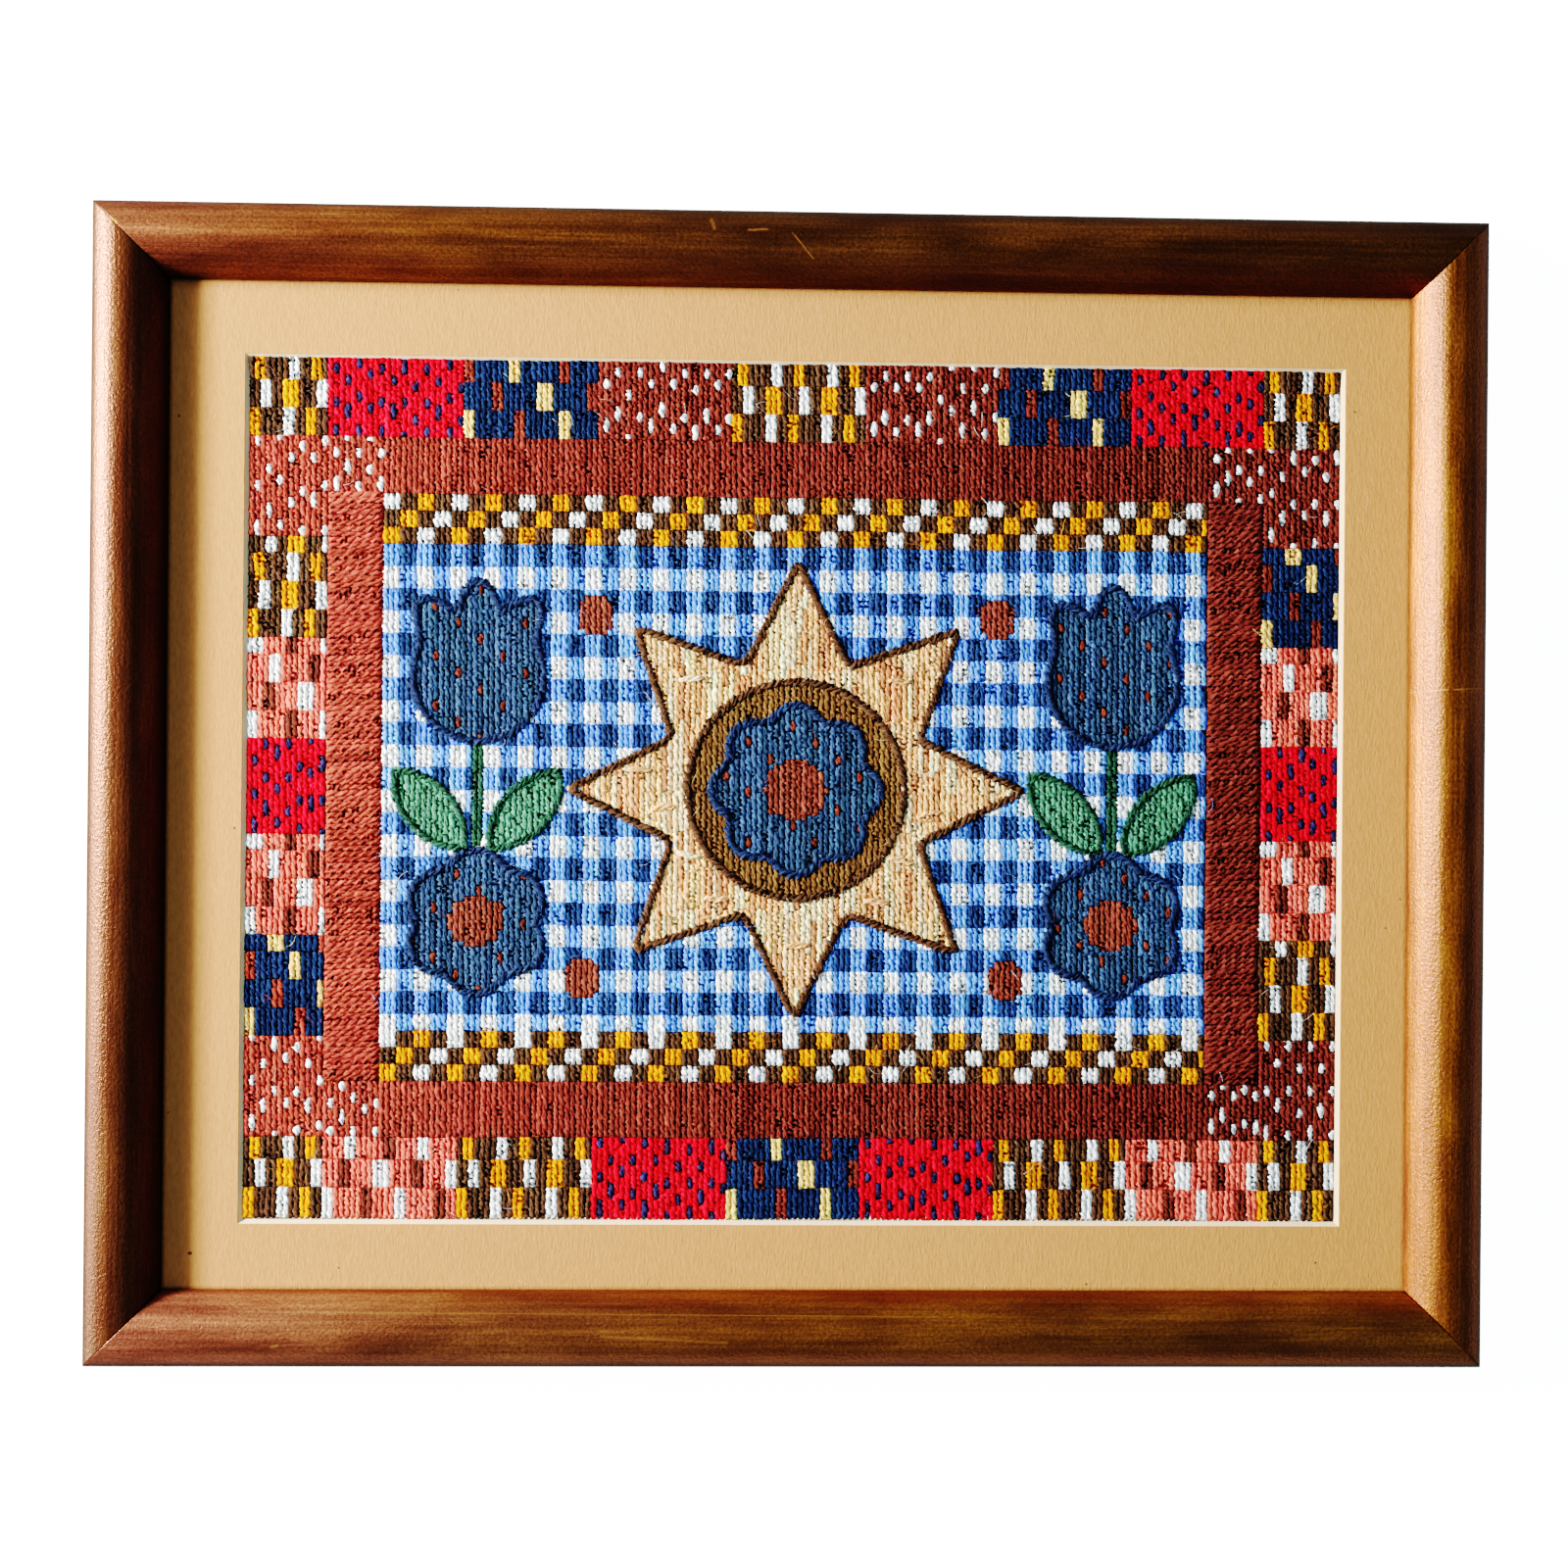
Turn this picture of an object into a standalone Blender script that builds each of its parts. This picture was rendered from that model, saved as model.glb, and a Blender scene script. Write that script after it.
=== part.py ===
"""A needlepoint canvas panel, behind a bevelled mat in a mitred wooden frame.

The frame lies on its back. +X runs to the picture's right, +Y to its top, and +Z out of its face.
The origin is on the surface that the frame lies on, under its middle.
"""

import math

import bmesh
import bpy
from mathutils import Matrix, Vector

# ---- driving dimensions, in metres ----
GAP = 0.0003                      # air between pieces that touch in the real thing

FRAME_WIDTH = 0.4515              # outer size, along X
FRAME_HEIGHT = 0.3731             # outer size, along Y
MOULDING_WIDTH = 0.0239           # from the outer wall to the sight edge
MOULDING_DEPTH = 0.0210           # from the back to the crown
REBATE_WIDTH = 0.0060             # how far the lip reaches over the mat
REBATE_DEPTH = 0.0085             # from the back to the underside of the lip
LIP_EDGE = 0.0012                 # the upright edge of the lip, round the sight opening

# The moulding's face is three arcs. An angle is the slope there: it is below zero where the face
# rises from the outer wall, and above zero where it falls towards the sight edge.
CROWN_RADIUS = 0.0115
CROWN_FROM_OUTSIDE = 0.0096       # where the crown's highest line runs
WALL_ANGLE = math.radians(-85)
SHOULDER_ANGLE = math.radians(-40)
CROWN_END_ANGLE = math.radians(35)
SHOULDER_STEPS = 7
CROWN_STEPS = 15
SLOPE_STEPS = 8

MAT_THICKNESS = 0.0014            # four-ply board
WINDOW_WIDTH = 0.3552             # at the board's underside, over a 14 by 11 inch design
WINDOW_HEIGHT = 0.2780
WINDOW_SHIFT_X = 0.0014           # the window is cut a little off the middle
WINDOW_SHIFT_Y = -0.0013

CANVAS_THICKNESS = 0.0022         # canvas with the wool on both of its sides
BACKING_THICKNESS = 0.0030
BOARD_PLAY = 0.0004               # between the boards' edges and the rebate's wall

# ---- sizes that follow from them ----
SIGHT_WIDTH = FRAME_WIDTH - 2 * MOULDING_WIDTH
SIGHT_HEIGHT = FRAME_HEIGHT - 2 * MOULDING_WIDTH
BOARD_WIDTH = SIGHT_WIDTH + 2 * (REBATE_WIDTH - BOARD_PLAY)
BOARD_HEIGHT = SIGHT_HEIGHT + 2 * (REBATE_WIDTH - BOARD_PLAY)
MAT_BOTTOM = REBATE_DEPTH - GAP - MAT_THICKNESS
CANVAS_BOTTOM = MAT_BOTTOM - GAP - CANVAS_THICKNESS
BACKING_BOTTOM = CANVAS_BOTTOM - GAP - BACKING_THICKNESS
MITRE_SETBACK = GAP / 2 * math.sqrt(2)  # along a stick, for half a gap across its mitre


def clear_scene():
    for scene_object in list(bpy.data.objects):
        bpy.data.objects.remove(scene_object, do_unlink=True)


def plain_material(name, colour, roughness):
    material = bpy.data.materials.new(name)
    material.use_nodes = True
    shader = material.node_tree.nodes["Principled BSDF"]
    shader.inputs["Base Color"].default_value = (*colour, 1)
    shader.inputs["Roughness"].default_value = roughness
    shader.inputs["Metallic"].default_value = 0
    return material


def add_solid(name, mesh_data, material, placing=None):
    """Closes the bmesh into a named object and sets it in its place."""
    bmesh.ops.recalc_face_normals(mesh_data, faces=mesh_data.faces)
    mesh = bpy.data.meshes.new(name)
    mesh_data.to_mesh(mesh)
    mesh_data.free()
    mesh.materials.append(material)
    solid = bpy.data.objects.new(name, mesh)
    if placing is not None:
        solid.matrix_world = placing
    bpy.context.collection.objects.link(solid)
    return solid


def arc(start, start_angle, end_angle, radius, steps):
    """Points of an arc that leaves start at one slope and ends at another, without start itself."""
    centre_across = start[0] - radius * math.sin(start_angle)
    centre_height = start[1] - radius * math.cos(start_angle)
    angles = [start_angle + (end_angle - start_angle) * step / steps for step in range(1, steps + 1)]
    return [
        (centre_across + radius * math.sin(angle), centre_height + radius * math.cos(angle))
        for angle in angles
    ]


def arc_radius(run, start_angle, end_angle):
    return run / (math.sin(end_angle) - math.sin(start_angle))


def moulding_section():
    """The moulding's section as (distance from the outer wall, height) points."""
    shoulder_end = CROWN_FROM_OUTSIDE + CROWN_RADIUS * math.sin(SHOULDER_ANGLE)
    shoulder_radius = arc_radius(shoulder_end, WALL_ANGLE, SHOULDER_ANGLE)
    shoulder_rise = shoulder_radius * (math.cos(SHOULDER_ANGLE) - math.cos(WALL_ANGLE))
    crown_rise = CROWN_RADIUS * (1 - math.cos(SHOULDER_ANGLE))
    wall_top = (0, MOULDING_DEPTH - crown_rise - shoulder_rise)
    section = [(0, 0), wall_top]
    section += arc(wall_top, WALL_ANGLE, SHOULDER_ANGLE, shoulder_radius, SHOULDER_STEPS)
    section += arc(section[-1], SHOULDER_ANGLE, CROWN_END_ANGLE, CROWN_RADIUS, CROWN_STEPS)

    slope_run = MOULDING_WIDTH - section[-1][0]
    slope_drop = section[-1][1] - REBATE_DEPTH - LIP_EDGE
    sight_angle = 2 * math.atan2(slope_drop, slope_run) - CROWN_END_ANGLE
    slope_radius = arc_radius(slope_run, CROWN_END_ANGLE, sight_angle)
    section += arc(section[-1], CROWN_END_ANGLE, sight_angle, slope_radius, SLOPE_STEPS)

    section.append((MOULDING_WIDTH, REBATE_DEPTH))
    section.append((MOULDING_WIDTH - REBATE_WIDTH, REBATE_DEPTH))
    section.append((MOULDING_WIDTH - REBATE_WIDTH, 0))
    return section


def frame_stick(name, length, half_span, turn, material):
    """One mitred length of moulding. Before its turn it is the frame's lower stick."""
    mesh_data = bmesh.new()
    ends = []
    for side in (-1, 1):
        ends.append([
            mesh_data.verts.new((side * (length / 2 - across - MITRE_SETBACK), across - half_span, height))
            for across, height in moulding_section()
        ])
    left, right = ends
    for index in range(len(left)):
        following = (index + 1) % len(left)
        mesh_data.faces.new((left[index], left[following], right[following], right[index]))
    mesh_data.faces.new(left)
    mesh_data.faces.new(right)
    stick = add_solid(name, mesh_data, material, Matrix.Rotation(turn, 4, "Z"))
    stick.data.shade_smooth()
    stick.data.set_sharp_from_angle(angle=math.radians(30))
    return stick


def add_frame(material):
    quarter = math.pi / 2
    frame_stick("frame_bottom", FRAME_WIDTH, FRAME_HEIGHT / 2, 0, material)
    frame_stick("frame_right", FRAME_HEIGHT, FRAME_WIDTH / 2, quarter, material)
    frame_stick("frame_top", FRAME_WIDTH, FRAME_HEIGHT / 2, 2 * quarter, material)
    frame_stick("frame_left", FRAME_HEIGHT, FRAME_WIDTH / 2, 3 * quarter, material)


def board(name, bottom, thickness, material):
    """A flat rectangular sheet that fills the rebate."""
    mesh_data = bmesh.new()
    bmesh.ops.create_cube(mesh_data, size=1)
    bmesh.ops.scale(mesh_data, vec=(BOARD_WIDTH, BOARD_HEIGHT, thickness), verts=mesh_data.verts)
    return add_solid(name, mesh_data, material, Matrix.Translation((0, 0, bottom + thickness / 2)))


def rectangle(mesh_data, width, height, level, centre=Vector((0, 0, 0))):
    corners = ((-1, -1), (1, -1), (1, 1), (-1, 1))
    return [
        mesh_data.verts.new(centre + Vector((x * width / 2, y * height / 2, level)))
        for x, y in corners
    ]


def mat_board(material):
    """A ring of board. Its window is cut at 45 degrees, widest at the face."""
    mesh_data = bmesh.new()
    window_centre = Vector((WINDOW_SHIFT_X, WINDOW_SHIFT_Y, 0))
    face = MAT_BOTTOM + MAT_THICKNESS
    bevel = 2 * MAT_THICKNESS
    loops = [
        rectangle(mesh_data, BOARD_WIDTH, BOARD_HEIGHT, MAT_BOTTOM),
        rectangle(mesh_data, BOARD_WIDTH, BOARD_HEIGHT, face),
        rectangle(mesh_data, WINDOW_WIDTH + bevel, WINDOW_HEIGHT + bevel, face, window_centre),
        rectangle(mesh_data, WINDOW_WIDTH, WINDOW_HEIGHT, MAT_BOTTOM, window_centre),
    ]
    for index, loop in enumerate(loops):
        following = loops[(index + 1) % len(loops)]
        for corner in range(4):
            beside = (corner + 1) % 4
            mesh_data.faces.new((loop[corner], loop[beside], following[beside], following[corner]))
    return add_solid("mat_board", mesh_data, material)


def main():
    clear_scene()
    add_frame(plain_material("stained_wood", (0.20, 0.055, 0.012), 0.35))
    mat_board(plain_material("mat_paper", (0.60, 0.43, 0.24), 0.9))
    canvas_wool = plain_material("canvas_and_wool", (0.42, 0.12, 0.07), 0.95)
    board("needlepoint_canvas", CANVAS_BOTTOM, CANVAS_THICKNESS, canvas_wool)
    backing_card = plain_material("backing_card", (0.40, 0.30, 0.20), 0.9)
    board("backing_board", BACKING_BOTTOM, BACKING_THICKNESS, backing_card)


main()
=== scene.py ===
"""Looks of a framed needlepoint panel: moulding, mat, canvas, wool stitches, camera and light.

Lengths are metres. The panel lies on its back, +X to the picture's right, +Y to its top, +Z out.
The design on the canvas is charted in threads, counted from the canvas's lower left stitch.
"""

import math

import bpy
import numpy as np
from mathutils import Euler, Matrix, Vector


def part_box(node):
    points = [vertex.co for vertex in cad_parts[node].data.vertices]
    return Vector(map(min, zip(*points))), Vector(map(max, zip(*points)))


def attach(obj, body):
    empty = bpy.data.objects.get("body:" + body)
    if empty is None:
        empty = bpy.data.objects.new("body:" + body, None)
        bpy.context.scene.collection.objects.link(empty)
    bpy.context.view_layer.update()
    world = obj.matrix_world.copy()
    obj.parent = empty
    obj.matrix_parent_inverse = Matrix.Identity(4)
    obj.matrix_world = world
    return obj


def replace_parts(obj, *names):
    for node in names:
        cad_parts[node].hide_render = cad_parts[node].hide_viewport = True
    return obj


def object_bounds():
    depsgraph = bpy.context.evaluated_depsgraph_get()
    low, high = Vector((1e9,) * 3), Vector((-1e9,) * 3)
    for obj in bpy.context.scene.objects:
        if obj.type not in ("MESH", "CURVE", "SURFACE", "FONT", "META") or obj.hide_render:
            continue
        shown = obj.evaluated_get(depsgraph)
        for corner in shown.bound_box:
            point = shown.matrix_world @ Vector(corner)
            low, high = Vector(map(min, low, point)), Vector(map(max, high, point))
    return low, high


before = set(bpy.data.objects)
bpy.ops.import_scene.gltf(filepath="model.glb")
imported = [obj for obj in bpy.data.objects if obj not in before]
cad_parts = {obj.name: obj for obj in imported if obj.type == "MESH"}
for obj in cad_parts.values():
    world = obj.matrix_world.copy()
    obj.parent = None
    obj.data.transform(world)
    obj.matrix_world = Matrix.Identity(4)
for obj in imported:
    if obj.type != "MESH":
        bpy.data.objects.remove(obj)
CAD_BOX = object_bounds()

MM = 0.001
QUARTER = math.pi / 2
RNG = np.random.default_rng(14)

# ---- the camera, as fitted to the photograph's corners ----
LENS = 67.5
SENSOR = 36
CAMERA_PLACE = (-0.04158, -0.00051, 0.96266)
CAMERA_TURN = (math.radians(0.107), math.radians(-2.340), math.radians(0.496))

# ---- the frame's section, in the terms of the CAD ----
OUTER_LOW, OUTER_HIGH = CAD_BOX
FRAME_WIDTH = OUTER_HIGH.x - OUTER_LOW.x
FRAME_HEIGHT = OUTER_HIGH.y - OUTER_LOW.y
MOULDING_DEPTH = OUTER_HIGH.z
MOULDING_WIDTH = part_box("frame_bottom")[1].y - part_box("frame_bottom")[0].y
SIGHT_WIDTH = FRAME_WIDTH - 2 * MOULDING_WIDTH
SIGHT_HEIGHT = FRAME_HEIGHT - 2 * MOULDING_WIDTH
REBATE_WIDTH = 6.0 * MM
REBATE_DEPTH = 8.5 * MM
LIP_EDGE = 1.2 * MM
CROWN_RADIUS = 11.5 * MM
CROWN_FROM_OUTSIDE = 9.6 * MM
WALL_ANGLE = math.radians(-85)
SHOULDER_ANGLE = math.radians(-40)
CROWN_END_ANGLE = math.radians(35)
SHOULDER_STEPS = 12
CROWN_STEPS = 24
SLOPE_STEPS = 16
BACK_CORNERS = 3                  # the section's last corners, which aren't on its face

# ---- the four sticks and their stain ----
STICK_STEPS = 40
MITRE_SETBACK = 0.005 * MM        # the mitres are tight
MITRE_EASE = ((0.0, 0.16), (0.22, 0.03), (0.45, 0.0))  # how far in and how deep, in mm
MITRE_DARK = 0.10
STICK_MAP_STEP = Vector((1.7, 0.53))   # how far apart the sticks lie on the map of the grain
SLOPE_FROM = 15 * MM              # where the slope that faces the mat begins, from outside
SLOPE_RUN = 7 * MM
# How far from the sight edge the stain is made darker, and how dark it gets there.
SIGHT_EDGE_REACH = 1.2 * MM
SIGHT_EDGE_DARK = 0.45
SMOOTH_ANGLE = math.radians(32)
GLOSS_STOPS = np.array((5, 9, 12.5, 16.5, 22)) * MM    # across the face, from outside

# Each stick has its stain's colours at even steps along it, the stain's tint on the slope, and its gloss at
# GLOSS_STOPS.
# The steps run from left to right for someone who faces its outer side. The colours are painted light and
# shade: the steps make the top and bottom sticks bright near the picture's left, where the lamps' sheen
# falls, and darker further along, and each stick's colour differs with how the light falls on it; the tint
# makes the slope of the right stick, which faces the lamps, bright, and the slopes of the left and top
# sticks, which face away, dark.
STICK_LOOKS = (
    (
        "frame_bottom",
        ((4.0, 2.6, 7.0), (1.55, 1.4, 2.4), (1.35, 1.2, 0.7), (1.3, 1.3, 0.7), (1.25, 1.3, 0.6)),
        (0.8, 0.85, 0.85), (1, 1, 0.92, 0.92, 0.8),
    ),
    ("frame_right", ((1.65, 1.38, 0.9),), (5.6, 3.4, 6.8), (1, 0.7, 0.15, 0.8, 1)),
    (
        "frame_top",
        ((0.48, 0.50, 0.55), (0.72, 0.68, 0.72), (0.80, 0.80, 0.9), (1.65, 1.4, 1.5), (2.5, 1.6, 4.0)),
        (0.6, 0.62, 0.5), (1, 0.52, 0.66, 0.6, 0.25),
    ),
    ("frame_left", ((0.98, 0.86, 1.5),), (0.4, 0.5, 0.5), (1, 0.75, 0.7, 0.6, 0.2)),
)

# Scratches and rubs: the stick's number, start and end as (along, across from outside) in mm,
# half width in mm, and strength.
WEAR = (
    (1, (34.0, 14), (33.2, 24), 0.35, 0.8),
    (1, (34.6, 2.5), (34.0, 12), 0.30, 0.5),
    (2, (10, 7), (16, 7.5), 0.5, 0.35),
    (2, (2, 8), (-5, 16), 0.30, 0.40),
    (2, (219.5, 6.4), (217, 8.2), 0.7, 0.95),
    (2, (28, 4), (27, 7), 0.8, 0.25),
    (0, (-150, 18), (40, 17), 0.22, 0.28),
    (0, (-165, 7.5), (-163, 8), 0.5, 0.5),
    (0, (-60, 11), (-20, 9), 0.6, 0.22),
    (3, (40, 15), (60, 16), 0.4, 0.2),
)
BARE_WOOD = (0.42, 0.20, 0.06)

# ---- the mat ----
MAT_LOW, MAT_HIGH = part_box("mat_board")
MAT_ARRIS = 0.12 * MM
WINDOW_CENTRE = Vector((1.4 * MM, -1.3 * MM, 0))
WINDOW_WIDTH = 355.2 * MM
WINDOW_HEIGHT = 278.0 * MM
CRUMBS = 70
LOOSE_HAIRS = 9
DUST_SHADES = ((236, 226, 206), (214, 190, 150), (120, 84, 52))
DUST_SHARES = (0.5, 0.3, 0.2)

# ---- the canvas and its design, in threads ----
PITCH = 25.4 * MM / 14
COLUMNS = 196
ROWS = 154
CANVAS_LOW, CANVAS_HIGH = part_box("needlepoint_canvas")
GROUND_THICKNESS = 1.35 * MM      # the canvas, and the wool that runs across its back
GROUND_TOP = CANVAS_LOW.z + GROUND_THICKNESS
GROUND_STEPS = (60, 48)
GROUND_WAVE = 0.05 * MM
WANDER = (0.16 * MM, 0.18 * MM)   # how far a thread strays, across and along
STITCH_LEVEL = GROUND_TOP + 0.62 * MM
# Painted shade: the canvas's colour wherever the wool covers it.
SHADE_UNDER_WOOL = (0.12, 0.08, 0.065)
BORDER = 14
BAND = 10
BARE_ROWS = 1
FIELD_LEFT = BORDER + BAND
FIELD_RIGHT = COLUMNS - BORDER - BAND
FIELD_BOTTOM = BARE_ROWS + BORDER + BAND
FIELD_TOP = ROWS - BORDER - BAND
BRICK_ROWS = 5
CHECK_ROWS = 9
GINGHAM_CELL = (3, 4)             # columns and rows

# The field's motifs, by their distance from the field's centre.
STAR = dict(outer=41.0, inner=24.0, points=8)
RING_RADIUS = 19.5
SIDE = 57                         # from the middle to the two stems
FLOWERS = (                       # x, y, size, and a rosette's petals, or none for a tulip
    (0, 0, 15.5, 8), (-SIDE, -24, 13.0, 6), (SIDE, -24, 13.0, 6), (-SIDE, 20, 15.5, 0), (SIDE, 20, 15.5, 0),
)
FLOWER_MIDDLE = 0.36              # a rosette's middle, as a share of its size
PETAL_APART = math.radians(38)
BERRIES = tuple((side * x, y) for side in (-1, 1) for x, y in ((36, 31), (38, -34)))
BERRY_RADIUS = 3.4
PALE_PETALS = 0.4                 # the share of a flower's columns in the lighter blue
STRAW_SHARES = {"straw": 0.55, "pale straw": 0.28, "tan": 0.17}
LEAVES = tuple(                   # x, y, length, width, turn
    (side * SIDE + lean * 8.5, -4, 19, 8.5, math.radians(90 - 42 * lean))
    for side in (-1, 1) for lean in (-1, 1)
)
STEM_COLUMNS = 1.2
STEM_ROWS = (-16, 10)

# ---- the wool ----
LONGEST = 12                      # threads that one stitch may cross
RING_STEP = 1.5 * MM
TWIST_PER_METRE = 2 * math.pi / (6.2 * MM)
END_RUN = 0.45 * MM
PLY_SPREAD = 0.48 * MM            # from a strand's middle to the middles of its two plies
PLY_RISE = 0.22 * MM
PLY_HALF_WIDTH = 0.86 * MM
PLY_HALF_HEIGHT = 0.52 * MM
PLY_SQUASH = 0.28                 # how much wider a ply lies where it crosses the other
PLY_CONTRAST = 0.20
RUST_LIT_REACH = 155 * MM             # right of this, the rust has its own colour; leftward it is painted lighter, for the stronger light at the left
SWAY = 0.11 * MM
DIP = 0.7 * MM                    # how far a stitch's two ends go down into the canvas
BULGE = ((0.50, 4 * MM), (0.85, 3 * MM), (0.25, 3 * MM))   # height in mm, and reach from an edge
OUTLINE_LEVEL = STITCH_LEVEL + 0.45 * MM
OUTLINE_POINTS = 96
OUTLINE_STEP = 2.7 * MM
OUTLINE_STITCH = 5.6 * MM
OUTLINE_SLANT = 0.55 * MM
OUTLINE_SHORTEST = 2 * MM
COUCHING_STEP = (9.5, 8)          # columns and rows
COUCHING_HALF = 2.3               # half a bar, in threads
COUCHING_APART = 0.42 * MM        # from a bar's middle to each of its two stitches
COUCHING_CLEAR = (2, 4)           # threads that stay free beside the ring and the star's edge
FUZZ_COUNT = 2200
FUZZ_THICKNESS = 0.055 * MM
TOOTH_THICKNESS = np.array((0.30, 0.34, 0.32, 0.16)) * MM
TOOTH_RISE = 0.45 * MM
ATLAS_STRIP = 3.2 * MM            # a strip's width in the map for baking: about once round a ply
ATLAS_GAP = 1.3 * MM
ATLAS_END = 0.22 * MM

# ---- the studio ----
FLOOR_WIDTH = 6.0
COVE_REACH = 2.9
COVE_RADIUS = 0.9
COVE_HEIGHT = 4.0
COVE_SIDES = 64
COVE_STEPS = 8
LIGHTS = (                        # name, azimuth, elevation, distance, size, power, colour
    ("key", 12, 23.8, 1.14, (0.27, 0.15), 23.5, (1.0, 0.96, 0.91)),
    ("key_side", 31, 24, 1.14, (0.40, 0.15), 3.7, (1.0, 0.95, 0.88)),
    ("low_panel", 2, 6.0, 1.2, (1.0, 0.33), 7.4, (1.0, 0.95, 0.92)),
    ("low_panel_below", -90, 7, 1.1, (1.0, 0.30), 1.0, (1.0, 0.86, 0.72)),
    ("low_panel_right", 180, 7, 1.1, (1.0, 0.30), 0.6, (1.0, 0.86, 0.72)),
)
ROOM_COLOUR = (0.56, 0.86, 1.0)
ROOM_STRENGTH = 0.24

# ---- the film: what a surface sends back, and how bright the picture shows it, both linear ----
TONE = (
    (0.0, 0.0), (0.02, 0.0045), (0.035, 0.015), (0.055, 0.045), (0.087, 0.12), (0.139, 0.25),
    (0.202, 0.36), (0.324, 0.48), (0.495, 0.60), (0.795, 0.723), (1.2, 0.823), (1.8, 0.93), (2.6, 1.0),
)
TONE_WHITE = TONE[-1][0]
LIGHT_IN_MIDDLE = 1.05            # the light on the picture's middle, where 1 shows white as white


def linear(red, green, blue):
    """A colour given in the 0 to 255 steps of a picture, as linear light."""
    values = np.array((red, green, blue)) / 255
    return tuple(np.where(values <= 0.04045, values / 12.92, ((values + 0.055) / 1.055) ** 2.4))


def paint(red, green, blue):
    """The surface colour that shows as this colour of the picture, in the picture's middle."""
    sent, shown = zip(*TONE)
    return tuple(np.interp(linear(red, green, blue), shown, sent) / LIGHT_IN_MIDDLE)


# ==== Meshes ====

def link(name, mesh, *materials, slot):
    for material in materials:
        mesh.materials.append(material)
    piece = bpy.data.objects.new(name, mesh)
    bpy.context.scene.collection.objects.link(piece)
    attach(piece, "root")
    return piece


def array_mesh(name, points, *runs_of_faces, smooth=True):
    """A mesh from arrays. Each run of faces has a row of corners for each face."""
    loops = np.concatenate([np.ravel(faces) for faces in runs_of_faces])
    sizes = np.concatenate([np.full(len(faces), len(faces[0])) for faces in runs_of_faces])
    mesh = bpy.data.meshes.new(name)
    mesh.vertices.add(len(points))
    mesh.vertices.foreach_set("co", np.asarray(points, np.float32).ravel())
    mesh.loops.add(len(loops))
    mesh.loops.foreach_set("vertex_index", loops.astype(np.int32))
    starts = np.concatenate(([0], np.cumsum(sizes)[:-1]))
    mesh.polygons.add(len(sizes))
    mesh.polygons.foreach_set("loop_start", starts.astype(np.int32))
    mesh.polygons.foreach_set("use_smooth", np.full(len(sizes), smooth))
    mesh.update(calc_edges=True)
    return mesh


def add_map(mesh, name, places):
    layer = mesh.uv_layers.new(name=name)
    layer.uv.foreach_set("vector", places.astype(np.float32).ravel())


def add_point_colours(mesh, name, colours):
    attribute = mesh.color_attributes.new(name, "FLOAT_COLOR", "POINT")
    attribute.data.foreach_set("color", colours.astype(np.float32).ravel())


def ring_quads(rings, sides):
    """The faces between closed rings of points, ring after ring."""
    base = np.arange(rings - 1)[:, None] * sides
    this = np.arange(sides)[None, :]
    beside = (this + 1) % sides
    quads = np.stack((base + this, base + beside, base + sides + beside, base + sides + this), -1)
    return quads.reshape(-1, 4)


def lengths_along(points):
    return np.concatenate(([0], np.cumsum(np.linalg.norm(np.diff(points, axis=0), axis=1))))


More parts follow.
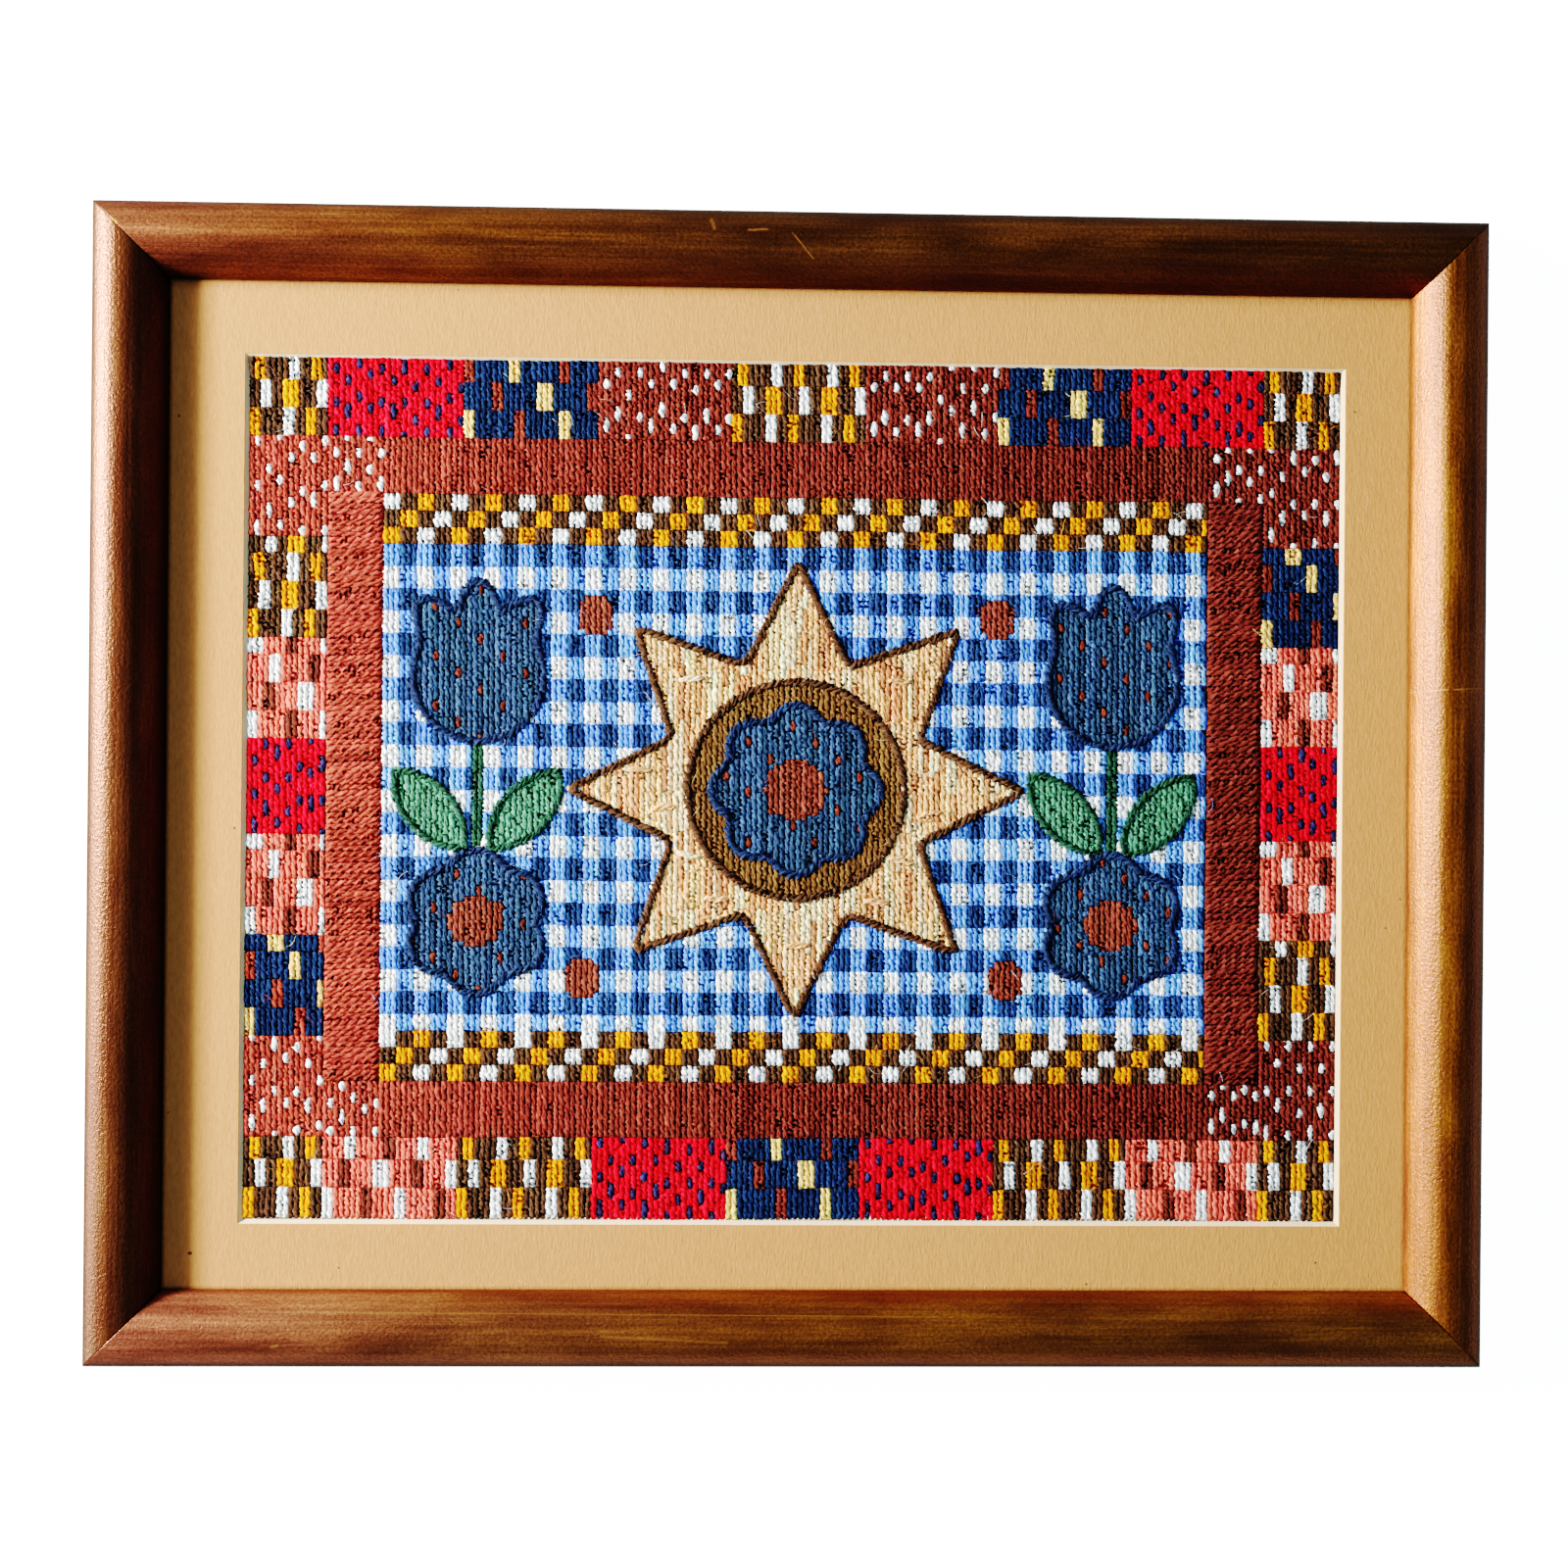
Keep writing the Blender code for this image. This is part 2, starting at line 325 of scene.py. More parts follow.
class Strands:
    """Collects tubes of yarn, each one a run of rings, and joins them into one mesh."""

    def __init__(self, sides):
        self.sides = sides
        self.angles = np.arange(sides) * 2 * math.pi / sides
        self.points, self.colours = [], []
        self.quads, self.caps = [], []
        self.side_maps, self.cap_maps, self.spans = [], [], []
        self.count = 0

    def add(self, path, across, widths, heights, turns, colour, start=0.0):
        """path is the centreline. across points to the strand's side at each ring."""
        rings, sides = len(path), self.sides
        tangent = np.gradient(path, axis=0)
        tangent /= np.linalg.norm(tangent, axis=1)[:, None]
        up = np.cross(across, tangent)
        up *= np.where(up[:, 2:3] < 0, -1, 1)
        turned = self.angles[None, :] + turns[:, None]
        flat = (widths[:, None] * np.cos(turned))[..., None] * across[:, None, :]
        tall = (heights[:, None] * np.sin(turned))[..., None] * up[:, None, :]
        self.points.append((path[:, None, :] + flat + tall).reshape(-1, 3))
        shade = np.broadcast_to(np.asarray(colour, float).reshape(-1, 3), (rings, 3))
        self.colours.append(np.repeat(shade, sides, axis=0))

        self.quads.append(self.count + ring_quads(rings, sides))
        first = self.count + np.arange(sides)[::-1]
        last = self.count + (rings - 1) * sides + np.arange(sides)
        self.caps.append(np.stack((first, last)))
        self.count += rings * sides

        along = start + lengths_along(path)
        self.spans.append((along[0], along[-1], rings))
        shares = np.arange(sides + 1)[None, :] / sides
        here, there = shares[:, :-1], shares[:, 1:]
        low, high = along[:-1, None], along[1:, None]
        corners = np.broadcast_arrays(here, low, there, low, there, high, here, high)
        self.side_maps.append(np.stack(corners, -1).reshape(-1, 2))
        ends = np.zeros((2, sides, 2))
        ends[:, :, 0] = shares[:, :-1]
        ends[:, :, 1] = along[[0, -1], None]
        self.cap_maps.append(ends.reshape(-1, 2))

    def atlas(self, side_map, cap_map):
        """A second map for baking: every strand's strip laid out flat, in columns, with its two ends."""
        first, last, rings = np.array(self.spans).T
        room = last - first + ATLAS_GAP
        columns = max(1, round(math.sqrt(room.sum() / ATLAS_STRIP)))
        column_room = room.sum() / columns
        height = column_room + room.max()
        reached = np.cumsum(room) - room
        column = np.minimum(reached // column_room, columns - 1)
        bottom = reached - column * column_room + ATLAS_GAP / 2
        corner = np.stack((column, bottom - first), -1)
        strip = np.repeat(corner, ((rings - 1) * self.sides * 4).astype(int), axis=0)
        across = (strip[:, 0] + 0.04 + 0.92 * side_map[:, 0]) / columns
        sides = np.stack((across, (side_map[:, 1] + strip[:, 1]) / height), -1)
        ends = np.repeat(corner, 2 * self.sides, axis=0)
        outward = np.tile(np.repeat((-1, 1), self.sides), len(rings))
        turn = cap_map[:, 0] * 2 * math.pi
        across = (ends[:, 0] + 0.5) / columns + ATLAS_END * np.cos(turn) / (ATLAS_STRIP * columns)
        up = cap_map[:, 1] + ends[:, 1] + outward * 1.6 * ATLAS_END + ATLAS_END * np.sin(turn)
        return np.concatenate((sides, np.stack((across, up / height), -1)))

    def piece(self, name, material, slot="canvas_and_wool"):
        points = np.concatenate(self.points)
        mesh = array_mesh(name, points, np.concatenate(self.quads), np.concatenate(self.caps))
        side_map, cap_map = np.concatenate(self.side_maps), np.concatenate(self.cap_maps)
        add_map(mesh, "strand", np.concatenate((side_map, cap_map)))
        add_map(mesh, "OFBake", self.atlas(side_map, cap_map))
        opaque = np.ones((len(points), 1))
        add_point_colours(mesh, "yarn", np.hstack((np.concatenate(self.colours), opaque)))
        return link(name, mesh, material, slot=slot)


# ==== Materials ====

class Nodes:
    """A short way to write a material's node tree."""

    def __init__(self, name):
        self.material = bpy.data.materials.new(name)
        self.material.use_nodes = True
        self.tree = self.material.node_tree
        self.shader = self.tree.nodes["Principled BSDF"]

    def new(self, kind, **settings):
        node = self.tree.nodes.new("ShaderNode" + kind)
        for key, value in settings.items():
            setattr(node, key, value)
        return node

    def put(self, socket, value):
        """Links a socket, or sets it to a plain value."""
        if isinstance(value, bpy.types.NodeSocket):
            self.tree.links.new(value, socket)
        else:
            socket.default_value = value

    def math(self, operation, *values):
        node = self.new("Math", operation=operation)
        for socket, value in zip(node.inputs, values):
            self.put(socket, value)
        return node.outputs[0]

    def product(self, first, *others):
        for value in others:
            first = self.math("MULTIPLY", first, value)
        return first

    def vector_math(self, operation, first, second, output="Vector"):
        node = self.new("VectorMath", operation=operation)
        self.put(node.inputs[0], first)
        self.put(node.inputs["Scale" if operation == "SCALE" else 1], second)
        return node.outputs[output]

    def scaled(self, colour, value):
        """A colour times a number."""
        return self.vector_math("SCALE", colour, value)

    def uv(self, name):
        return self.new("UVMap", uv_map=name).outputs[0]

    def point_colours(self, name):
        return self.new("VertexColor", layer_name=name).outputs

    def place(self):
        return self.new("TexCoord").outputs["Object"]

    def split(self, vector):
        node = self.new("SeparateXYZ")
        self.put(node.inputs[0], vector)
        return node.outputs

    def noise(self, vector, scale, detail=2.0, roughness=0.5, distortion=0.0, offset=(0, 0, 0)):
        """Noise on a map that is first stretched, by one scale or by one for each axis."""
        mapping = self.new("Mapping")
        self.put(mapping.inputs["Vector"], vector)
        mapping.inputs["Scale"].default_value = scale if isinstance(scale, tuple) else (scale,) * 3
        mapping.inputs["Location"].default_value = offset
        node = self.new("TexNoise")
        self.put(node.inputs["Vector"], mapping.outputs[0])
        node.inputs["Scale"].default_value = 1.0
        node.inputs["Detail"].default_value = detail
        node.inputs["Roughness"].default_value = roughness
        node.inputs["Distortion"].default_value = distortion
        return node.outputs["Fac"]

    def remap(self, value, low, high, to_low=0.0, to_high=1.0):
        node = self.new("MapRange")
        self.put(node.inputs["Value"], value)
        for name, number in zip(("From Min", "From Max", "To Min", "To Max"), (low, high, to_low, to_high)):
            node.inputs[name].default_value = number
        return node.outputs[0]

    def mix(self, factor, first, second, blend="MIX"):
        node = self.new("Mix", data_type="RGBA", blend_type=blend)
        self.put(node.inputs["Factor"], factor)
        for index, value in ((6, first), (7, second)):
            plain = not isinstance(value, bpy.types.NodeSocket)
            self.put(node.inputs[index], (*value, 1) if plain else value)
        return node.outputs[2]

    def ramp(self, value, *stops):
        node = self.new("ValToRGB")
        self.put(node.inputs[0], value)
        elements = node.color_ramp.elements
        while len(elements) < len(stops):
            elements.new(0.5)
        for element, (position, colour) in zip(elements, stops):
            element.position = position
            element.color = (*colour, 1)
        return node.outputs[0]

    def bump(self, height, distance):
        node = self.new("Bump")
        self.put(node.inputs["Height"], height)
        node.inputs["Distance"].default_value = distance
        node.inputs["Strength"].default_value = 1.0
        return node.outputs[0]

    def finish(self, colour, roughness, **others):
        """Sets the shader's sockets. The others go by their names, in lower case."""
        self.put(self.shader.inputs["Base Color"], colour)
        self.put(self.shader.inputs["Roughness"], roughness)
        for name, value in others.items():
            title = name.replace("_", " ").title().replace("Ior", "IOR")
            self.put(self.shader.inputs[title], value)
        return self.material


def wood_material():
    """Stained softwood under a satin lacquer. Its map runs along each stick, then across its face.

    The fibres under the lacquer shine in the wood's own colour, most where light comes across them.
    """
    n = Nodes("stained_wood_finish")
    grain = n.uv("grain")
    streaks = n.noise(grain, (9, 620, 1), detail=5, roughness=0.62, distortion=0.3)
    fine = n.noise(grain, (40, 2400, 1), detail=3, roughness=0.6)
    figure = n.noise(grain, (5.5, 75, 1), detail=3, distortion=1.2)
    blotches = n.noise(grain, (28, 90, 1), detail=4, roughness=0.6)
    pores = n.noise(grain, (190, 3000, 1), detail=1)
    pits = n.noise(grain, (820, 1050, 1), detail=2, roughness=0.65)
    body = n.ramp(
        n.math("MULTIPLY_ADD", figure, 0.62, n.product(streaks, 0.5)),
        (0.38, (0.024, 0.0128, 0.0033)),
        (0.52, (0.048, 0.0252, 0.0062)),
        (0.62, (0.071, 0.0366, 0.0088)),
        (0.76, (0.113, 0.0570, 0.0140)),
    )
    tone = n.product(
        n.remap(fine, 0.3, 0.7, 0.78, 1.22), n.remap(pits, 0.3, 0.7, 0.58, 1.46),
        n.remap(blotches, 0.35, 0.68, 0.66, 1.38), n.remap(pores, 0.64, 0.74, 1.0, 0.5),
    )
    # The point colours hold the stain with painted light and shade in it, and the gloss as alpha.
    stain_and_light = n.point_colours("stain_and_light")
    body = n.mix(1.0, n.scaled(body, tone), stain_and_light["Color"], blend="MULTIPLY")
    worn = 0.0
    for mark in WEAR:
        worn = n.math("MAXIMUM", worn, wear_mask(n, grain, pits, *mark))
    body = n.mix(worn, body, BARE_WOOD)
    uneven = n.bump(n.math("MULTIPLY_ADD", streaks, 0.35, n.product(pits, 0.65)), 0.00038)
    gloss = n.product(stain_and_light["Alpha"], 0.5)
    return n.finish(
        body, n.remap(pits, 0.3, 0.7, 0.45, 0.31), normal=uneven, coat_normal=uneven,
        specular_ior_level=gloss, coat_weight=gloss, coat_roughness=0.30, ior=2.15,
        specular_tint=(1.0, 0.27, 0.12, 1), anisotropic=0.15, anisotropic_rotation=0.25,
        tangent=n.new("Tangent", direction_type="UV_MAP", uv_map="grain").outputs[0],
    )


def wear_mask(n, grain, ragged, stick, start, end, half_width, strength):
    """One row of WEAR on the map of the grain: how near a place is to the line from start to end."""
    width = half_width * MM
    first, last = (
        Vector((*face_map(stick, along * MM, across * MM), 0)) for along, across in (start, end)
    )
    span = last - first
    offset = n.vector_math("SUBTRACT", grain, first)
    share = n.vector_math("DOT_PRODUCT", offset, span / span.length_squared, "Value")
    share = n.math("MINIMUM", n.math("MAXIMUM", share, 0.0), 1.0)
    away = n.vector_math("DISTANCE", offset, n.scaled(tuple(span), share), "Value")
    distance = n.math("MULTIPLY_ADD", n.math("SUBTRACT", ragged, 0.5), 2.2 * width, away)
    return n.remap(distance, 0.4 * width, width, strength, 0.0)


def mat_paper_material():
    """The mat's tan face paper, with short fibres that mostly run up the picture, and painted shade at the
    sight edge.
    """
    n = Nodes("mat_face_paper")
    place = n.place()
    fibres = n.noise(place, (1500, 420, 420), detail=3, roughness=0.6, distortion=0.4)
    tooth = n.noise(place, 1300)
    specks = n.noise(place, 420, detail=0, offset=(3, 7, 1))
    base = n.mix(n.noise(place, 16, detail=3), (0.70, 0.288, 0.119), (0.74, 0.310, 0.131))
    base = n.scaled(base, n.remap(fibres, 0.3, 0.7, 0.90, 1.10))
    base = n.mix(n.remap(specks, 0.89, 0.93), base, (0.20, 0.09, 0.04))
    parts = n.split(place)
    # Painted shade: the paper darkens to half its colour within 1.6 mm of the frame's sight edge, on a
    # ragged line.
    beside = n.math("SUBTRACT", SIGHT_WIDTH / 2, n.math("ABSOLUTE", parts[0]))
    above = n.math("SUBTRACT", SIGHT_HEIGHT / 2, n.math("ABSOLUTE", parts[1]))
    from_frame = n.math("MULTIPLY_ADD", tooth, 0.8 * MM, n.math("MINIMUM", beside, above))
    base = n.scaled(base, n.remap(from_frame, 0.3 * MM, 1.6 * MM, 0.5, 1.0))
    # Painted shadow of the top moulding: the paper darkens further within 3.4 mm below the top sight edge.
    from_top = n.math("SUBTRACT", SIGHT_HEIGHT / 2, parts[1])
    base = n.scaled(base, n.remap(from_top, 0.8 * MM, 3.4 * MM, 0.78, 1.0))
    relief = n.math("MULTIPLY_ADD", fibres, 0.7, n.product(tooth, 0.3))
    return n.finish(base, 0.95, normal=n.bump(relief, 0.00026), specular_ior_level=0.2)


def mat_core_material():
    n = Nodes("mat_core")
    plies = n.noise(n.place(), (300, 300, 5200))
    base = n.mix(plies, linear(246, 210, 168), linear(254, 230, 196))
    return n.finish(base, 0.9, normal=n.bump(plies, 0.00008))


def wool_material():
    """Tapestry wool. The map of each ply goes round it, then along it."""
    n = Nodes("tapestry_wool")
    fibres = n.noise(n.uv("strand"), (6, 420, 1), detail=3, roughness=0.62, distortion=0.5)
    mottle = n.noise(n.place(), 700)
    tone = n.product(n.remap(fibres, 0.34, 0.66, 0.62, 1.58), n.remap(mottle, 0.3, 0.7, 0.84, 1.30))
    colour = n.scaled(n.point_colours("yarn")["Color"], tone)
    relief = n.math("MULTIPLY_ADD", fibres, 0.6, n.product(mottle, 0.4))
    return n.finish(
        colour, 0.9, normal=n.bump(relief, 0.0004), sheen_weight=0.05, sheen_roughness=0.5,
        specular_ior_level=0.1,
    )


def canvas_material():
    """White single-thread canvas, woven at the stitch pitch. Under the wool it is painted dark, as the shade
    between the stitches.
    """
    n = Nodes("woven_canvas")
    parts = n.split(n.place())
    across = n.math("SINE", n.product(parts[0], math.pi / PITCH))
    along = n.math("SINE", n.product(parts[1], math.pi / PITCH))
    holes = n.product(n.math("ABSOLUTE", across), n.math("ABSOLUTE", along))
    base = n.mix(n.remap(holes, 0.0, 0.5), linear(150, 140, 120), linear(246, 243, 234))
    middle = (WINDOW_CENTRE.x, WINDOW_CENTRE.y + BARE_ROWS * PITCH / 2)
    beside, above = (
        n.math("LESS_THAN", n.math("ABSOLUTE", n.math("SUBTRACT", parts[axis], middle[axis])), half)
        for axis, half in ((0, COLUMNS * PITCH / 2), (1, (ROWS - BARE_ROWS) * PITCH / 2))
    )
    # Painted shade: under the stitched area the canvas is dark.
    base = n.mix(n.product(beside, above), base, SHADE_UNDER_WOOL)
    return n.finish(base, 0.9, normal=n.bump(n.product(across, along), 0.0004))


def card_material():
    n = Nodes("backing_card_fibre")
    place = n.place()
    fibres = n.noise(place, (900, 120, 900), detail=4, roughness=0.65)
    base = n.ramp(
        n.math("MULTIPLY_ADD", n.noise(place, 22), 0.4, n.product(fibres, 0.6)),
        (0.3, linear(128, 100, 70)),
        (0.7, linear(176, 145, 108)),
    )
    return n.finish(base, 0.92, normal=n.bump(fibres, 0.0002))


def studio_material():
    n = Nodes("studio_floor")
    return n.finish((0.86, 0.86, 0.86, 1), 0.9, emission_color=(1, 1, 1, 1), emission_strength=2.3)


# ==== The frame ====

def arc(start, start_angle, end_angle, radius, steps):
    """Points of an arc that leaves start at one slope and ends at another, without start itself."""
    centre_across = start[0] - radius * math.sin(start_angle)
    centre_height = start[1] - radius * math.cos(start_angle)
    angles = [start_angle + (end_angle - start_angle) * step / steps for step in range(1, steps + 1)]
    return [
        (centre_across + radius * math.sin(angle), centre_height + radius * math.cos(angle))
        for angle in angles
    ]


def arc_radius(run, start_angle, end_angle):
    return run / (math.sin(end_angle) - math.sin(start_angle))


def moulding_section():
    """The same three arcs as in the CAD, in finer steps, as (across, height) points."""
    shoulder_end = CROWN_FROM_OUTSIDE + CROWN_RADIUS * math.sin(SHOULDER_ANGLE)
    shoulder_radius = arc_radius(shoulder_end, WALL_ANGLE, SHOULDER_ANGLE)
    shoulder_rise = shoulder_radius * (math.cos(SHOULDER_ANGLE) - math.cos(WALL_ANGLE))
    crown_rise = CROWN_RADIUS * (1 - math.cos(SHOULDER_ANGLE))
    wall_top = (0, MOULDING_DEPTH - crown_rise - shoulder_rise)
    section = [(0, 0), (0, wall_top[1] / 2), wall_top]
    section += arc(wall_top, WALL_ANGLE, SHOULDER_ANGLE, shoulder_radius, SHOULDER_STEPS)
    section += arc(section[-1], SHOULDER_ANGLE, CROWN_END_ANGLE, CROWN_RADIUS, CROWN_STEPS)
    slope_run = MOULDING_WIDTH - section[-1][0]
    slope_drop = section[-1][1] - REBATE_DEPTH - LIP_EDGE
    sight_angle = 2 * math.atan2(slope_drop, slope_run) - CROWN_END_ANGLE
    slope_radius = arc_radius(slope_run, CROWN_END_ANGLE, sight_angle)
    section += arc(section[-1], CROWN_END_ANGLE, sight_angle, slope_radius, SLOPE_STEPS)
    section.append((MOULDING_WIDTH, REBATE_DEPTH))
    section.append((MOULDING_WIDTH - REBATE_WIDTH, REBATE_DEPTH))
    section.append((MOULDING_WIDTH - REBATE_WIDTH, 0))
    return np.array(section)


def face_map(stick, along, across):
    """The grain map's place of a point on a stick's face."""
    face = moulding_section()[:-BACK_CORNERS]
    around = np.interp(across, face[:, 0], lengths_along(face))
    return along + STICK_MAP_STEP.x * stick, around + STICK_MAP_STEP.y * stick


def section_normals(section):
    run = np.gradient(section, axis=0)
    normals = np.stack((-run[:, 1], run[:, 0]), -1)
    return normals / np.linalg.norm(normals, axis=1)[:, None]


def stick_stain_and_light(section, x, ease, length, light_tones, slope_light_and_shade, gloss):
    """The stain's colour with painted light and shade, and its gloss as alpha. Darker at the sight edge;
    dirt in the mitres.
    """
    # Painted light and shade: the tint on the slope that faces the mat, and the colours along the stick.
    slope = np.clip((section[:, 0] - SLOPE_FROM) / SLOPE_RUN, 0, 1)
    # The stain is darker next to the sight edge.
    edge_dark = np.interp(MOULDING_WIDTH - section[:, 0], (0, SIGHT_EDGE_REACH), (SIGHT_EDGE_DARK, 1.0))
    shade = (1 + slope[:, None] * (np.array(slope_light_and_shade) - 1)) * edge_dark[:, None]
    stops = np.linspace(-length / 2, length / 2, len(light_tones))
    channels = [np.interp(x.mean(axis=1), stops, channel) for channel in np.transpose(light_tones)]
    lengthwise = np.stack(channels, -1) * np.interp(ease, (0, ease.max()), (1.0, MITRE_DARK))[:, None]
    stain_and_light = np.ones((*x.shape, 4))
    stain_and_light[..., :3] = lengthwise[:, None] * shade[None]
    stain_and_light[..., 3] = np.interp(section[:, 0], GLOSS_STOPS, gloss)
    return stain_and_light


def frame_stick(name, length, half_span, turn, number, looks, material):
    """One mitred length of moulding, with a map of its grain that is different on each stick."""
    section = moulding_section()
    corners = len(section)
    face = np.arange(corners) < corners - BACK_CORNERS
    half = length / 2 - section[:, 0] - MITRE_SETBACK
    insets, depths = np.transpose(MITRE_EASE) * MM
    body = np.linspace(-1, 1, STICK_STEPS + 1)
    x = np.concatenate((
        -half + insets[:, None],
        body[:, None] * (half - 2 * insets[-1]),
        half - insets[::-1, None],
    ))
    rings = len(x)
    ease = np.concatenate((depths, np.zeros(len(body)), depths[::-1]))
    sunk = section - (ease[:, None] * face)[..., None] * section_normals(section)
    y, z = sunk[..., 0] - half_span, sunk[..., 1]
    cosine, sine = round(math.cos(turn)), round(math.sin(turn))
    points = np.stack((x * cosine - y * sine, x * sine + y * cosine, z), -1).reshape(-1, 3)
    quads = ring_quads(rings, corners)[:, (0, 3, 2, 1)]
    ends = np.stack((np.arange(corners), np.arange(rings * corners)[: -corners - 1: -1]))
    mesh = array_mesh(name, points, quads, ends)

    around = np.append(lengths_along(section), 0) + STICK_MAP_STEP.y * number
    around[-1] = around[-2] + section[-1, 0]
    low, high = (np.broadcast_to(edge, (rings - 1, corners)) for edge in (around[:-1], around[1:]))
    along = x + STICK_MAP_STEP.x * number
    follow = np.roll(along, -1, axis=1)
    grain = np.stack((along[:-1], low, along[1:], low, follow[1:], high, follow[:-1], high), -1)
    flat_ends = np.zeros((2 * corners, 2))
    add_map(mesh, "grain", np.concatenate((grain.reshape(-1, 2), flat_ends)))
    add_point_colours(mesh, "stain_and_light", stick_stain_and_light(section, x, ease, length, *looks))
    mesh.set_sharp_from_angle(angle=SMOOTH_ANGLE)
    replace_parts(link(name + "_moulding", mesh, material, slot="stained_wood"), name)


def add_frame():
    wood = wood_material()
    lengths = (FRAME_WIDTH, FRAME_HEIGHT)
    for number, (name, *looks) in enumerate(STICK_LOOKS):
        length, span = lengths[number % 2], lengths[1 - number % 2]
        frame_stick(name, length, span / 2, number * QUARTER, number, looks, wood)


# ==== Mat and boards ====

def corners_of(width, height, level, centre=Vector((0, 0, 0))):
    signs = ((-1, -1), (1, -1), (1, 1), (-1, 1))
    return np.array([(centre.x + x * width / 2, centre.y + y * height / 2, level) for x, y in signs])


def window_corners(outset, level):
    return corners_of(WINDOW_WIDTH + 2 * outset, WINDOW_HEIGHT + 2 * outset, level, WINDOW_CENTRE)


def add_mat():
    """The board as one closed ring of loops. Its outer edge and its bevel show the core."""
    size = MAT_HIGH - MAT_LOW
    loops = (
        corners_of(size.x, size.y, MAT_LOW.z),
        corners_of(size.x, size.y, MAT_HIGH.z),
        window_corners(size.z + MAT_ARRIS, MAT_HIGH.z),
        window_corners(size.z - MAT_ARRIS / 2, MAT_HIGH.z - MAT_ARRIS),
        window_corners(0, MAT_LOW.z),
    )
    quads = ring_quads(len(loops) + 1, 4) % (4 * len(loops))
    mesh = array_mesh("mat_board", np.concatenate(loops), quads, smooth=False)
    mat = link("mat_board_cut", mesh, mat_paper_material(), mat_core_material(), slot="mat_paper")
    shows_core = np.array((1, 0, 0, 1, 0))
    mesh.polygons.foreach_set("material_index", np.repeat(shows_core, 4))
    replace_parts(mat, "mat_board")


def add_canvas():
    """The bare canvas under the wool, very slightly uneven where it is pulled over the board."""
    low, high = CANVAS_LOW, CANVAS_HIGH
    edges = [np.linspace(low[axis], high[axis], GROUND_STEPS[axis]) for axis in (0, 1)]
    x, y = np.meshgrid(*edges, indexing="ij")
    rise = GROUND_WAVE * np.sin(x * 61 + 2 * np.sin(y * 23)) * np.cos(y * 47)
    top = np.stack((x, y, GROUND_TOP + rise), -1).reshape(-1, 3)
    under = np.stack((x, y, np.full_like(x, low.z)), -1).reshape(-1, 3)
    count = len(top)
    index = np.arange(count).reshape(GROUND_STEPS)
    upper = np.stack((index[:-1, :-1], index[1:, :-1], index[1:, 1:], index[:-1, 1:]), -1).reshape(-1, 4)
    rim = np.concatenate((index[:-1, 0], index[-1, :-1], index[:0:-1, -1], index[0, :0:-1]))
    beside = np.roll(rim, -1)
    sides = np.stack((rim, rim + count, beside + count, beside), -1)
    mesh = array_mesh("canvas_ground", np.concatenate((top, under)), upper, sides, upper[:, ::-1] + count)
    ground = link("canvas_ground", mesh, canvas_material(), slot="canvas_and_wool")
    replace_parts(ground, "needlepoint_canvas")
    return ground


def finish_backing():
    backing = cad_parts["backing_board"]
    backing.data.materials.clear()
    backing.data.materials.append(card_material())


# ==== The design, charted in threads ====

YARNS = {
    "rust": paint(150, 40, 27),
    # Painted light: the rust as the stronger light at the picture's left shows it.
    "lit rust": paint(197, 80, 54),
    "brick": paint(150, 46, 28),
    "red": paint(232, 12, 30),
    "navy": paint(13, 36, 98),
    "violet": paint(38, 32, 100),
    "blue": paint(31, 80, 151),
    "sky": paint(150, 189, 232),
    "white": paint(240, 238, 240),
    "salmon": paint(226, 144, 119),
    "brown": paint(104, 54, 28),
    "yellow": paint(228, 180, 20),
    "cream": paint(226, 208, 162),
    "straw": paint(228, 203, 168),
    "pale straw": paint(230, 219, 198),
    "tan": paint(214, 174, 130),
    "gold": paint(156, 102, 40),
    "green": paint(112, 172, 144),
    "leaf": paint(34, 98, 64),
    "petal": paint(38, 80, 126),
    "petal light": paint(64, 114, 162),
    "dark blue": paint(24, 48, 104),
    "berry": paint(167, 67, 43),
}
NAMES = list(YARNS)
NUMBER = {name: index for index, name in enumerate(NAMES)}
DOT_YARNS = ("white", "violet", "brick")


class Chart:
    """The colour of each thread crossing, and a key that changes where one stitch ends."""

    def __init__(self):
        self.colour = np.full((ROWS, COLUMNS), -1)
        self.key = np.zeros((ROWS, COLUMNS), int)
        self.level = np.zeros((ROWS, COLUMNS), bool)
        self.row, self.column = np.mgrid[0:ROWS, 0:COLUMNS]

    def paint(self, where, colour, key):
        self.colour[where] = NUMBER[colour] if isinstance(colour, str) else colour[where]
        self.key[where] = key[where] if isinstance(key, np.ndarray) else key

    def inside(self, left, bottom, width, height):
        return (
            (self.column >= left) & (self.column < left + width)
            & (self.row >= bottom) & (self.row < bottom + height)
        )


def dotted(chart, where, left, bottom, ground, dot, period):
    """A ground of long stitches with dots one stitch wide, staggered on every other column."""
    column, row = chart.column - left, chart.row - bottom
    pair = column // 2
    wander = RNG.integers(-1, 2, COLUMNS)[pair % COLUMNS]
    turn = row + (pair % 2) * (period // 2) + wander
    long_one = (pair * 5 + turn // period * 3) % 4 == 0
    spot = (column % 2 == 1) & (turn % period < 2 + long_one)
    chart.paint(where, ground, (row + 5 * column) // 8 + 100)
    chart.paint(where & spot, dot, 7)


def bricks(chart, where, left, bottom, ground, first, second, period):
    """Courses with a brick of each of two colours in turn."""
    column, row = chart.column - left, chart.row - bottom
    course = row // BRICK_ROWS
    step = (column + 4 * course + course // 2) % period
    colour = np.where(step < 2 + course % 2, NUMBER[first], NUMBER[ground])
    colour = np.where((step >= period // 2 + 1) & (step < period // 2 + 3), NUMBER[second], colour)
    chart.paint(where, colour, course)


